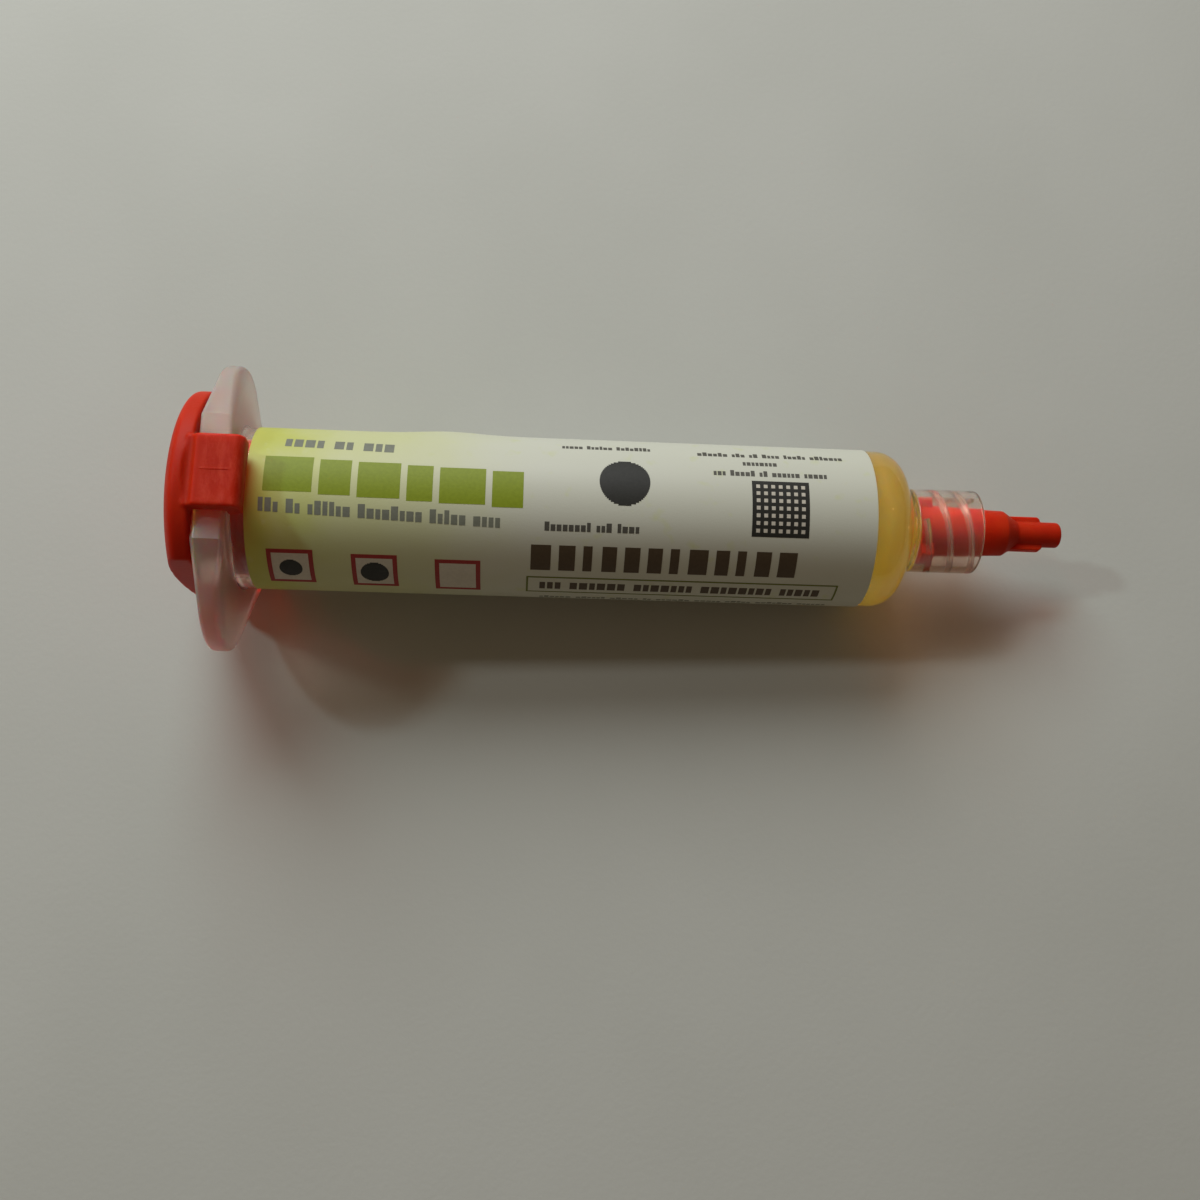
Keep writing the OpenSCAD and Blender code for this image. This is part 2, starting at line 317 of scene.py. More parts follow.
def ramp(material, value, start, end, low=0.0, high=1.0):
    """A value that runs from low to high while another runs from start to end."""
    return add(material, "ShaderNodeMapRange", Value=value, From_Min=start, From_Max=end,
               To_Min=low, To_Max=high).outputs["Result"]


def maths(material, operation, *values):
    """One sum on sockets and plain numbers."""
    made = add(material, "ShaderNodeMath")
    made.operation = operation
    for socket, value in zip(made.inputs, values):
        plug(material.node_tree, value, socket)
    return made.outputs[0]


def between(material, share, first, second):
    """A mix of two, each a colour or a socket. In colour mode the node's sockets are 0, 6 and 7."""
    mix = add(material, "ShaderNodeMix")
    mix.data_type = "RGBA"
    plug(material.node_tree, share, mix.inputs[0])
    for number, colour in ((6, first), (7, second)):
        value = colour if isinstance(colour, bpy.types.NodeSocket) else (*colour, 1.0)
        plug(material.node_tree, value, mix.inputs[number])
    return mix.outputs[2]


# %% Mottle, grain and a way through for lamps
def noise(material, scale, detail):
    where = barrel_coordinates(material)
    made = add(material, "ShaderNodeTexNoise", Vector=where, Scale=scale, Detail=detail)
    return made.outputs["Fac"]


def mottled(material, dark, light, scale):
    """Lets the base colour wander between two colours with a noise of a given scale."""
    colours = add(material, "ShaderNodeValToRGB", Fac=noise(material, scale, 3.0))
    for stop, place, colour in zip(colours.color_ramp.elements, (0.35, 0.65), (dark, light)):
        stop.position = place
        stop.color = (*colour, 1.0)
    drive(material, colours.outputs["Color"], "Base Color")
    return colours.outputs["Color"]


def grained(material, scale, height):
    """Adds a fine bump; height is in metres."""
    bump = add(material, "ShaderNodeBump", Height=noise(material, scale, 4.0), Distance=height,
               Strength=1.0)
    drive(material, bump.outputs["Normal"], "Normal")
    return bump


def lets_lamps_through(material, tint):
    """Rays from lamps meet a plain transparent shader, so that what lies behind gets light."""
    tree = material.node_tree
    open_way = add(material, "ShaderNodeBsdfTransparent", Color=(*tint, 1.0))
    path = add(material, "ShaderNodeLightPath")
    choice = add(material, "ShaderNodeMixShader", Fac=path.outputs["Is Shadow Ray"])
    tree.links.new(shader_of(material).outputs["BSDF"], choice.inputs[1])
    tree.links.new(open_way.outputs["BSDF"], choice.inputs[2])
    tree.links.new(choice.outputs["Shader"], tree.nodes["Material Output"].inputs["Surface"])
    return open_way


# %% [markdown]
# ## Clear barrel
#
# The barrel is moulded from polypropylene: clear, but faintly milky, with a soft gloss. The tube,
# its shoulder, the lock skirt and the tip are one turned profile. The flange is not turned: its two
# ears are round, tapered and thinner at their tips. A hull round two thin discs and four rods gives
# that shape with a rounded rim, as the CAD does, here with many more points so that it shades
# smoothly.

# %% Sizes of the barrel
bore, wall, body_end, nose, neck = 7.95, 9.1, 75.6, 79.6, 5.0
flange_thickness, flat_height, flat_half = 3.5, 11.0, 7.0
ear_radius, ear_reach, ear_rear, ear_front, rim = 8.7, 16.6, 0.4, 2.6, 0.6
skirt, skirt_inside, skirt_floor, mouth = 4.9, 4.0, 80.3, 87.9
tip, tip_radius, tip_hole, tip_root = 90.0, 1.985, 1.1, 2.276
shoulder_round, shoulder_slope, throat, throat_end = 3.2, 63.0, 2.0, 79.95
lead_in = 0.4


def shoulder(outer, inner, bend, steps=12):
    """An arc from (outer, body_end), then a cone down to inner, as corners without fillets."""
    turns = [math.radians(shoulder_slope) * step / steps for step in range(steps + 1)]
    arc = [(outer - bend * (1 - math.cos(a)), body_end + bend * math.sin(a), 0) for a in turns]
    last_radius, last_x, _ = arc[-1]
    cone = (last_radius - inner) / math.tan(math.radians(shoulder_slope))
    return arc + [(inner, last_x + cone, 0)]


cavity = shoulder(bore, throat, shoulder_round - (wall - bore)) + [(tip_hole, throat_end, 0)]

# %% Tube, shoulder, skirt and tip
tube_profile = rounded(
    [(bore + lead_in, 0.0, 0), (wall, 0.0, 0)]
    + shoulder(wall, neck, shoulder_round)
    + [
        (skirt, nose, 0),
        (skirt, mouth, 0.2),
        (skirt_inside, mouth, 0.2),
        (skirt_inside, skirt_floor, 0.3),
        (tip_root, skirt_floor, 0.2),
        (tip_radius, tip, 0.15),
        (tip_hole, tip, 0.1),
    ]
    + cavity[::-1]
    + [(bore, lead_in, 0)]
)
barrel = as_object(spun(tube_profile), "clear_barrel")

# %% Eared flange
disc_points, bend_steps, rod_points = 120, 6, 24
flange_shape = bmesh.new()
for side in (-1, 1):
    for k in range(disc_points):
        turn = 2 * math.pi * k / disc_points
        for step in range(bend_steps + 1):
            bend = math.pi / 2 * step / bend_steps
            reach = ear_radius - rim + rim * math.sin(bend)
            y = side * (ear_reach - ear_radius) + reach * math.cos(turn)
            z = reach * math.sin(turn)
            sink = rim * math.cos(bend)
            for x in (ear_rear + rim - sink, ear_front - rim + sink):
                flange_shape.verts.new((x, y, z))
    for k in range(rod_points):
        turn = 2 * math.pi * k / rod_points
        for x in (rim, flange_thickness - rim):
            for y in (-flat_half, flat_half):
                z = side * (flat_height - rim) + rim * math.sin(turn)
                flange_shape.verts.new((x + rim * math.cos(turn), y, z))
hull = bmesh.ops.convex_hull(flange_shape, input=flange_shape.verts)
left_over = hull["geom_interior"] + hull["geom_unused"]
spare = [v for v in left_over if isinstance(v, bmesh.types.BMVert)]
bmesh.ops.delete(flange_shape, geom=list(set(spare)), context="VERTS")
bmesh.ops.dissolve_limit(
    flange_shape, angle_limit=math.radians(0.4), verts=flange_shape.verts, edges=flange_shape.edges
)
bmesh.ops.recalc_face_normals(flange_shape, faces=flange_shape.faces)
flange = as_object(flange_shape, "flange")
core_radius, rear, front = bore + 0.57, -1.0, 5.0
core = as_object(spun([(0, rear), (core_radius, rear), (core_radius, front), (0, front)]), "core")
boolean(flange, core, "DIFFERENCE")
boolean(barrel, flange, "UNION")
laid_down(barrel, crease=32)
report(barrel)

# %% [markdown]
# Polypropylene scatters a little light on its way through. The tube's wall is thin, so the gel and
# the red plug show clearly behind it. The flange is three times as thick and looks milky. Near the
# tube its colour is painted pink, a painted glow that stands in for red light from the cap. The skirt
# is clear and slightly duller. One shader does all three: its see-through share, its roughness and
# its colour follow the distance from the axis. Bent light takes long to find a lamp, so rays from
# lamps go straight through with a tint, which is darker in the flange.

# %% Finish of the clear plastic
PLASTIC_BENDS_LIGHT = 1.49
skirt_to_tube, tube_to_flange, flange_to_ears = (5.0, 5.6), (9.12, 9.4), (9.4, 14.5)
# The pink next to the tube is painted light: a painted glow that stands in for red light from the cap.
tube_colour, painted_cap_glow, ear_colour = (0.93, 0.82, 0.75), (0.94, 0.66, 0.57), (0.93, 0.83, 0.77)
tube_tint, flange_tint = (0.87, 0.76, 0.69), (0.70, 0.60, 0.56)
clear_plastic = finish("clear_plastic", tube_colour, 0.2, IOR=PLASTIC_BENDS_LIGHT,
                       Transmission_Weight=0.9, Subsurface_Weight=1.0, Subsurface_Scale=0.002)
from_axis = off_axis(clear_plastic)
milky = ramp(clear_plastic, from_axis, *tube_to_flange)
towards_ears = ramp(clear_plastic, from_axis, *flange_to_ears)
# Painted glow: pink near the tube, fading to the plain plastic colour at the ears.
painted_glow_colour = between(clear_plastic, towards_ears, painted_cap_glow, ear_colour)
drive(clear_plastic, between(clear_plastic, milky, tube_colour, painted_glow_colour), "Base Color")
for socket, on_skirt, on_tube, on_flange in (
    ("Transmission Weight", 0.975, 0.98, 0.76), ("Roughness", 0.12, 0.08, 0.30),
):
    inner = ramp(clear_plastic, from_axis, *skirt_to_tube, on_skirt, on_tube)
    outer = ramp(clear_plastic, from_axis, *tube_to_flange, 0.0, on_flange - on_tube)
    drive(clear_plastic, maths(clear_plastic, "ADD", inner, outer), socket)
grained(clear_plastic, 1.0, 0.000008)
open_way = lets_lamps_through(clear_plastic, tube_tint)
dimmer = between(clear_plastic, milky, tube_tint, flange_tint)
clear_plastic.node_tree.links.new(dimmer, open_way.inputs["Color"])
coat(barrel, clear_plastic)
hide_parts("barrel")
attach(barrel, "barrel")

# %% [markdown]
# ## Thread in the lock skirt
#
# Inside the skirt runs a right-handed double thread that catches the lugs of a cap or a needle. It
# shows through the clear wall as pairs of slanting lines. A ridge that follows a path is work for
# Geometry Nodes: a spiral, a small profile swept along it, and the same again half a turn on.

# %% Node helpers for shapes
def new_tree(name, sizes, dressed=True):
    """A geometry tree with inputs for Geometry, for each size and, if dressed, for Material."""
    tree = bpy.data.node_groups.new(name, "GeometryNodeTree")
    tree.interface.new_socket("Geometry", in_out="INPUT", socket_type="NodeSocketGeometry")
    for label, value in sizes.items():
        kind = "NodeSocketInt" if isinstance(value, int) else "NodeSocketFloat"
        tree.interface.new_socket(label, in_out="INPUT", socket_type=kind).default_value = value
    if dressed:
        tree.interface.new_socket("Material", in_out="INPUT", socket_type="NodeSocketMaterial")
    tree.interface.new_socket("Geometry", in_out="OUTPUT", socket_type="NodeSocketGeometry")
    return tree, tree.nodes.new("NodeGroupInput").outputs


def node(tree, kind, inputs, **settings):
    """Adds a node; its inputs, by name or number, are values or other nodes' output sockets."""
    made = tree.nodes.new(kind)
    for name, value in settings.items():
        setattr(made, name, value)
    for key, value in inputs.items():
        plug(tree, value, made.inputs[key])
    return made.outputs


def calc(tree, operation, *values):
    return node(tree, "ShaderNodeMath", dict(enumerate(values)), operation=operation)[0]


def ends_with(tree, given, geometry):
    """Makes instances real, sets the material and ends the tree."""
    real = node(tree, "GeometryNodeRealizeInstances", {"Geometry": geometry})["Geometry"]
    painted = {"Geometry": real, "Material": given["Material"]}
    last = node(tree, "GeometryNodeSetMaterial", painted)
    node(tree, "NodeGroupOutput", {"Geometry": last["Geometry"]})


def grown(name, tree, material, seed_mesh=None, **sizes):
    """Runs a tree on a new piece, its inputs set by identifier, and keeps a plain mesh."""
    mesh = seed_mesh or bpy.data.meshes.new(name)
    piece = bpy.data.objects.new(name, mesh)
    modifier = piece.modifiers.new(tree.name, "NODES")
    modifier.node_group = tree
    for item in tree.interface.items_tree:
        if item.in_out == "INPUT" and item.name in sizes:
            modifier[item.identifier] = sizes[item.name]
        if item.in_out == "INPUT" and item.name == "Material":
            modifier[item.identifier] = material
    bpy.context.scene.collection.objects.link(piece)
    return settle(piece)


# %% Tree for a double thread
thread_tree, given = new_tree(
    "double_thread",
    {"Start": 81.0, "Turns": 1.3, "Lead": 5.0, "Root": 4.06, "Crest": 3.45, "Width": 0.8},
)
length = calc(thread_tree, "MULTIPLY", given["Turns"], given["Lead"])
spiral = node(thread_tree, "GeometryNodeCurveSpiral", {
    "Resolution": 72, "Rotations": given["Turns"], "Start Radius": given["Root"],
    "End Radius": given["Root"], "Height": length, "Reverse": True,
})["Curve"]
upright = node(thread_tree, "GeometryNodeSetCurveNormal", {"Curve": spiral}, mode="Z_UP")["Curve"]
depth = calc(thread_tree, "SUBTRACT", given["Root"], given["Crest"])
ridge = node(thread_tree, "GeometryNodeCurvePrimitiveQuadrilateral", {
    "Height": calc(thread_tree, "MULTIPLY", depth, 2.0), "Bottom Width": given["Width"],
    "Top Width": calc(thread_tree, "MULTIPLY", given["Width"], 0.35), "Offset": 0.0,
}, mode="TRAPEZOID")["Curve"]
soft = node(thread_tree, "GeometryNodeFilletCurve", {
    "Curve": ridge, "Radius": 0.1, "Count": 3,
}, mode="POLY")
turned = node(thread_tree, "GeometryNodeTransform", {
    "Geometry": soft["Curve"], "Rotation": (0, 0, math.radians(90)),
})["Geometry"]
swept = node(thread_tree, "GeometryNodeCurveToMesh", {
    "Curve": upright, "Profile Curve": turned, "Fill Caps": True,
})["Mesh"]
along = node(thread_tree, "GeometryNodeTransform", {
    "Geometry": swept, "Rotation": (0, math.radians(90), 0),
    "Translation": node(thread_tree, "ShaderNodeCombineXYZ", {"X": given["Start"]})["Vector"],
})["Geometry"]
second = node(thread_tree, "GeometryNodeTransform", {
    "Geometry": along, "Rotation": (math.radians(180), 0, 0),
})["Geometry"]
both = thread_tree.nodes.new("GeometryNodeJoinGeometry")
thread_tree.links.new(along, both.inputs[0])
thread_tree.links.new(second, both.inputs[0])
ends_with(thread_tree, given, both.outputs[0])

# %% Grow the thread
thread_plastic = finish("thread_plastic", (0.96, 0.88, 0.84), 0.1, IOR=PLASTIC_BENDS_LIGHT,
                        Transmission_Weight=0.93)
mottled(thread_plastic, (0.90, 0.76, 0.69), (0.95, 0.84, 0.78), 0.8)
grained(thread_plastic, 1.4, 0.00002)
lets_lamps_through(thread_plastic, (0.90, 0.78, 0.72))
thread = laid_down(grown("lock_thread", thread_tree, thread_plastic), crease=50)
report(thread)
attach(thread, "barrel")

# %% [markdown]
# ## Paper label
#
# The label is a printed sheet, wrapped once round the tube with its end lapped over its start, and
# slightly creased where it didn't lie down. A texture on the tube could show the print, but a real
# sheet has an edge with thickness, a lap and a crease. So the sheet and every mark are drawn flat,
# with X along the tube and Y across the sheet, and one group of nodes wraps all of them.

# %% Group that wraps flat things round the tube
wrap, given = new_tree("wrap_round_tube", {
    "Radius": wall, "Crease Height": 0.34, "Lap Start": 33.5, "Lap Rise": 0.1,
}, dressed=False)
place = node(wrap, "GeometryNodeInputPosition", {})[0]
flat = node(wrap, "ShaderNodeSeparateXYZ", {"Vector": place})
fading = []
for across, crease_middle, crease_reach in (("X", 26.2, 4.6), ("Y", -11.8, 2.4)):
    away = calc(wrap, "SUBTRACT", flat[across], crease_middle)
    away = calc(wrap, "ABSOLUTE", calc(wrap, "DIVIDE", away, crease_reach))
    fading.append(calc(wrap, "POWER", away, 2.0))
bell = calc(wrap, "EXPONENT", calc(wrap, "MULTIPLY", calc(wrap, "ADD", *fading), -1.0))
crease = calc(wrap, "MULTIPLY", given["Crease Height"], bell)
lap_slope, sheet_middle = 0.8, 0.05
lap = node(wrap, "ShaderNodeMapRange", {
    "Value": flat["Y"], "From Min": given["Lap Start"],
    "From Max": calc(wrap, "ADD", given["Lap Start"], lap_slope), "To Max": given["Lap Rise"],
}, interpolation_type="SMOOTHSTEP")["Result"]
height = calc(wrap, "ADD", calc(wrap, "ADD", flat["Z"], crease), lap)
radius = calc(wrap, "ADD", given["Radius"], height)
angle = calc(wrap, "DIVIDE", flat["Y"], calc(wrap, "ADD", given["Radius"], sheet_middle))
wrapped = node(wrap, "ShaderNodeCombineXYZ", {
    "X": flat["X"],
    "Y": calc(wrap, "MULTIPLY", calc(wrap, "MULTIPLY", radius, calc(wrap, "SINE", angle)), -1.0),
    "Z": calc(wrap, "MULTIPLY", radius, calc(wrap, "COSINE", angle)),
})["Vector"]
moved = node(wrap, "GeometryNodeSetPosition", {"Geometry": given["Geometry"], "Position": wrapped})
node(wrap, "NodeGroupOutput", {"Geometry": moved["Geometry"]})
print("nodes in the wrapping group:", len(wrap.nodes))

# %% [markdown]
# The sheet itself is a thin box with many points, so that it bends smoothly. It keeps its flat
# coordinates as a UV map in millimetres.

# %% Tree for the sheet
sheet_tree, given = new_tree("paper_sheet", {
    "Start": 4.9, "Length": 69.2, "First Edge": -24.0, "Last Edge": 36.0, "Thickness": 0.09,
})
width = calc(sheet_tree, "SUBTRACT", given["Last Edge"], given["First Edge"])
box = node(sheet_tree, "GeometryNodeMeshCube", {
    "Size": node(sheet_tree, "ShaderNodeCombineXYZ", {
        "X": given["Length"], "Y": width, "Z": given["Thickness"],
    })["Vector"],
    "Vertices X": 120, "Vertices Y": 190, "Vertices Z": 2,
})["Mesh"]
half_long, half_wide, half_thick = (
    calc(sheet_tree, "MULTIPLY", size, 0.5) for size in (given["Length"], width, given["Thickness"])
)
middle = node(sheet_tree, "ShaderNodeCombineXYZ", {
    "X": calc(sheet_tree, "ADD", given["Start"], half_long),
    "Y": calc(sheet_tree, "ADD", given["First Edge"], half_wide),
    "Z": calc(sheet_tree, "ADD", half_thick, 0.01),
})["Vector"]
placed = node(sheet_tree, "GeometryNodeTransform", {
    "Geometry": box, "Translation": middle,
})["Geometry"]
mapped = node(sheet_tree, "GeometryNodeStoreNamedAttribute", {
    "Geometry": placed, "Name": "sheet",
    "Value": node(sheet_tree, "GeometryNodeInputPosition", {})[0],
}, data_type="FLOAT2", domain="CORNER")["Geometry"]
round_tube = node(sheet_tree, "GeometryNodeGroup", {"Geometry": mapped}, node_tree=wrap)
ends_with(sheet_tree, given, round_tube["Geometry"])

# %% [markdown]
# The paper is satin and off-white. Towards the flange it has a lime tint that fades along the tube,
# and faint green blotches are scattered over the rest.

# %% Finish of the paper
bare_paper, lime_tint, pale_lime, blotch_green = (
    (0.53, 0.54, 0.45), (0.45, 0.48, 0.09), (0.51, 0.53, 0.28), (0.50, 0.53, 0.27),
)
paper = finish("label_paper", bare_paper, 0.5, Specular_IOR_Level=0.3)
axes = add(paper, "ShaderNodeSeparateXYZ", Vector=barrel_coordinates(paper)).outputs
tint_start, tint_end, tint_wander = 9.0, 42.0, 9.0
wander = maths(paper, "MULTIPLY_ADD", noise(paper, 0.22, 4.0), tint_wander, axes["X"])
fade = add(paper, "ShaderNodeValToRGB", Fac=ramp(paper, wander, tint_start, tint_end))
fade.color_ramp.interpolation = "EASE"
fade.color_ramp.elements[0].color = (*lime_tint, 1)
fade.color_ramp.elements[1].color = (*bare_paper, 1)
fade.color_ramp.elements.new(0.35).color = (*pale_lime, 1)
spots = ramp(paper, noise(paper, 0.5, 2.0), 0.62, 0.78, 0.0, 0.6)
drive(paper, between(paper, spots, fade.outputs["Color"], blotch_green), "Base Color")
grained(paper, 6.0, 0.00001)

# %% Wrap the label
label = laid_down(grown("label_sheet", sheet_tree, paper), crease=40)
report(label)
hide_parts("label")
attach(label, "barrel")

# %% [markdown]
# ## Print
#
# Print is ink on paper, far too thin to see as a step. Still, each printed bar here is a real thin
# block sunk in the sheet, because a block keeps its crisp edge at any distance. The places, sizes
# and colours of the marks follow the real sheet, while the marks themselves say nothing: words are
# plain bars. One tree puts a block on each point and wraps the lot round the tube.

# %% Tree for print
print_tree, given = new_tree("printed_blocks", {
    "Thickness": 0.03, "Cuts Along": 3, "Cuts Across": 4,
})
size = node(print_tree, "GeometryNodeInputNamedAttribute", {"Name": "size"},
            data_type="FLOAT_VECTOR")["Attribute"]
block = node(print_tree, "GeometryNodeMeshCube", {
    "Vertices X": given["Cuts Along"], "Vertices Y": given["Cuts Across"], "Vertices Z": 2,
})["Mesh"]
thin = node(print_tree, "ShaderNodeCombineXYZ", {
    "X": 1.0, "Y": 1.0, "Z": given["Thickness"],
})["Vector"]
deep = node(print_tree, "ShaderNodeVectorMath", {0: size, 1: thin}, operation="MULTIPLY")["Vector"]
points = node(print_tree, "GeometryNodeMeshToPoints", {"Mesh": given["Geometry"]})["Points"]
blocks = node(print_tree, "GeometryNodeInstanceOnPoints", {
    "Points": points, "Instance": block, "Scale": deep,
})["Instances"]
real = node(print_tree, "GeometryNodeRealizeInstances", {"Geometry": blocks})["Geometry"]
round_tube = node(print_tree, "GeometryNodeGroup", {"Geometry": real}, node_tree=wrap)
ends_with(print_tree, given, round_tube["Geometry"])

# %% Lay out bars and words
PAPER_TOP = 0.1
chance = random.Random(7)


def bar(left, right, low, high, rise=0.0):
    """One block on the flat sheet: its middle and its size."""
    return ((left + right) / 2, (low + high) / 2, PAPER_TOP + rise), (right - left, high - low, 1.0)


def words(left, right, low, high, slope=0.0, letter=None, capitals=False):
    """A line of small upright blocks in groups of chance length, like words seen from afar."""
    letter = letter or (high - low) * 0.6
    bars, x = [], left
    while x < right - letter * 2:
        for _ in range(chance.randint(2, 8)):
            if x + letter > right:
                break
            wide = letter * chance.choice((0.55, 0.72, 0.8))
            top = low if capitals or chance.random() < 0.3 else low + (high - low) * 0.28
            drop = slope * (x - left)
            bars.append(bar(x, x + wide, top + drop, high + drop))
            x += wide + letter * 0.2
        x += letter * 0.7
    return bars


def dot(x, y, reach, strips=22):
    """A round spot made of thin strips."""
    bars = []
    for k in range(strips):
        low, high = (y - reach + 2 * reach * share / strips for share in (k, k + 1))
        half = math.sqrt(max(reach * reach - ((low + high) / 2 - y) ** 2, 0.0))
        bars.append(bar(x - half, x + half, low, high))
    return bars


def frame_of_bars(left, right, low, high, stroke):
    """Four bars that make an open box."""
    return [
        bar(left, right, low, low + stroke),
        bar(left, right, high - stroke, high),
        bar(left, left + stroke, low + stroke, high - stroke),
        bar(right - stroke, right, low + stroke, high - stroke),
    ]


def printed(name, bars, ink, along=3, across=4):
    """Grows the blocks of one ink and lays them on the label; big blocks need more cuts to bend."""
    mesh = bpy.data.meshes.new(name)
    mesh.from_pydata([place for place, _ in bars], [], [])
    sizes = mesh.attributes.new("size", "FLOAT_VECTOR", "POINT")
    sizes.data.foreach_set("vector", [c for _, extent in bars for c in extent])
    cuts = {"Cuts Along": along, "Cuts Across": across}
    piece = laid_down(grown(name, print_tree, ink, seed_mesh=mesh, **cuts), crease=40)
    report(piece)
    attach(piece, "barrel")
    return piece


# %% [markdown]
# Ink soaks into paper unevenly, so each ink is mottled a little and is slightly less glossy than
# the bare sheet.

# %% Inks
def ink(name, colour):
    material = finish(name, colour, 0.55, Specular_IOR_Level=0.3)
    lighter = tuple(c * 1.1 + 0.002 for c in colour)
    mottled(material, colour, lighter, 2.5)
    grained(material, 5.0, 0.00001)
    return material


olive_ink = ink("olive_ink", (0.19, 0.245, 0.005))
moss_ink = ink("moss_ink", (0.12, 0.14, 0.02))
grey_ink = ink("grey_ink", (0.16, 0.17, 0.13))
brown_ink = ink("brown_ink", (0.07, 0.048, 0.026))
black_ink = ink("black_ink", (0.018, 0.018, 0.014))
soft_black_ink = ink("soft_black_ink", (0.075, 0.072, 0.058))
brick_ink = ink("brick_ink", (0.27, 0.022, 0.018))
pale_ink = ink("pale_ink", (0.50, 0.47, 0.39))

# %% Left block of print
SLOPE = math.tan(math.radians(2.2))
heading_left, heading_gap = 6.8, 0.72
heading, x = [], heading_left
for wide in (5.2, 3.4, 4.6, 2.8, 5.0, 3.4):
    drop = SLOPE * (x - heading_left)
    heading.append(bar(x, x + wide, -3.3 + drop, 0.9 + drop))
    x += wide + heading_gap
printed("print_olive_blocks", heading, olive_ink, along=5, across=12)
small_heading = words(8.6, 21.2, -6.3, -4.9, SLOPE, letter=1.3, capitals=True)
tag_line = words(6.4, 34.2, 1.6, 3.1, SLOPE, letter=0.95)

# %% Three open boxes
box_middles, box_top, box_bottom, stroke = (9.6, 18.7, 27.8), 7.3, 12.5, 0.5
boxes, fills = [], []
for middle in box_middles:
    drop = SLOPE * (middle - box_middles[0])
    boxes += frame_of_bars(middle - 2.5, middle + 2.5, box_top + drop, box_bottom + drop, stroke)
    fills.append(bar(middle - 2.0, middle + 2.0, 7.8 + drop, 12.0 + drop))
spots = dot(9.6, 9.9, 1.25) + dot(18.7, 9.9 + SLOPE * 9.1, 1.55)
printed("print_open_boxes", boxes, brick_ink, along=5, across=10)

# %% Right block of print
middle_words = words(39, 50.4, -7.3, -6.5, letter=0.55) + words(37.2, 49.2, 3.2, 4.2, letter=0.72)
right_words = (
    words(54.2, 71.6, -6.8, -6.0, letter=0.6)
    + words(59.2, 63.8, -5.3, -4.5, letter=0.6)
    + words(55.8, 69.3, -3.7, -2.9, letter=0.6)
)
printed("print_grey_words", small_heading + tag_line, grey_ink)
printed("print_black_words", middle_words + right_words, soft_black_ink)
square = [bar(60.0, 66.4, -2.3 + 0.8 * k, -1.5 + 0.8 * k) for k in range(8)]
printed("print_black", spots + dot(45.9, -1.6, 2.8, 30) + square, black_ink)
grid, grid_step, grid_square = [], 0.84, 0.42
for column in range(7):
    for row in range(7):
        left, low = 60.47 + grid_step * column, -1.83 + grid_step * row
        grid.append(bar(left, left + grid_square, low, low + grid_square, rise=0.012))
printed("print_pale_fields", grid + fills, pale_ink, along=4, across=8)

# %% Big row, framed line and the small print on the far side
big_row, x = [], 35.8
for wide in (2.2, 1.8, 1.0, 1.6, 1.7, 1.6, 1.0, 2.1, 1.5, 1.0, 1.7, 2.0):
    big_row.append(bar(x, x + wide, 5.8, 9.0))
    x += wide + (1.1 if wide < 1.3 else 0.88)
printed("print_brown_blocks", big_row, brown_ink, along=4, across=10)
framed_words = words(36.9, 69.6, 10.95, 12.3, letter=1.15, capitals=True)
printed("print_brown_words", framed_words, brown_ink)
thin_frame = frame_of_bars(35.4, 70.6, 10.0, 13.2, 0.22)
printed("print_moss_frame", thin_frame, moss_ink, along=24, across=8)
small_print = []
for row in range(9):
    left, right, low = 8.0 if row > 1 else 37.0, 71.0 - 9.0 * (row % 3), 14.6 + 1.55 * row
    small_print += words(left, right, low, low + 0.8, letter=0.7)
printed("print_small_lines", small_print, grey_ink)

# %% [markdown]
# ## Flux
#
# The flux is a stiff amber gel that fills the barrel from the piston to the tip, with a few bubbles
# trapped at the shoulder. The gel in front of the shoulder never moves. The column behind it is
# pushed out as the piston comes forward, so it is a piece of its own, with a mesh of its own. The
# two overlap by a hair, and the gel reaches a hair into the wall, because a gap of air between them
# would show as a dark band.
#
# Clear gel gathers light from all round, which takes far more rays than a still picture has. So the
# gel here is partly see-through and partly milky, with a very faint light of its own.

# %% Finish of the gel
gel = finish(
    "flux_gel", (0.93, 0.66, 0.16), 0.25, IOR=PLASTIC_BENDS_LIGHT, Transmission_Weight=0.8,
    Subsurface_Weight=1.0, Subsurface_Scale=0.002, Subsurface_Radius=(1.0, 0.6, 0.2),
    Emission_Color=(1.0, 0.92, 0.12, 1.0), Emission_Strength=0.06,
)
mottled(gel, (0.90, 0.61, 0.12), (0.95, 0.70, 0.19), 0.35)
grained(gel, 1.0, 0.00002)
lets_lamps_through(gel, (0.68, 0.48, 0.22))

# %% The moving column and the gel in the nose
gel_radius, piston_front, column_end, gel_front = bore + 0.03, 24.5, body_end + 0.02, 89.9
column_length, column_rings = column_end - piston_front, 12
column_profile = [(0, piston_front), (gel_radius, piston_front)]
column_steps = [column_length * k / column_rings for k in range(1, column_rings + 1)]
column_profile += [(gel_radius, piston_front + step) for step in column_steps]
column = as_object(spun(column_profile + [(0, column_end)]), "flux_column")
gel_bend = shoulder_round - (wall - gel_radius)
nose_profile = [(0, body_end)] + shoulder(gel_radius, throat, gel_bend)
nose_profile += [(tip_hole, throat_end), (tip_hole, gel_front), (0, gel_front)]
nose_gel = as_object(spun([point[:2] for point in nose_profile]), "flux_nose")
for piece in (column, nose_gel):
    laid_down(piece, crease=40)
    coat(piece, gel)
    report(piece)
    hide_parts("flux")
    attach(piece, "barrel")
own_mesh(column)

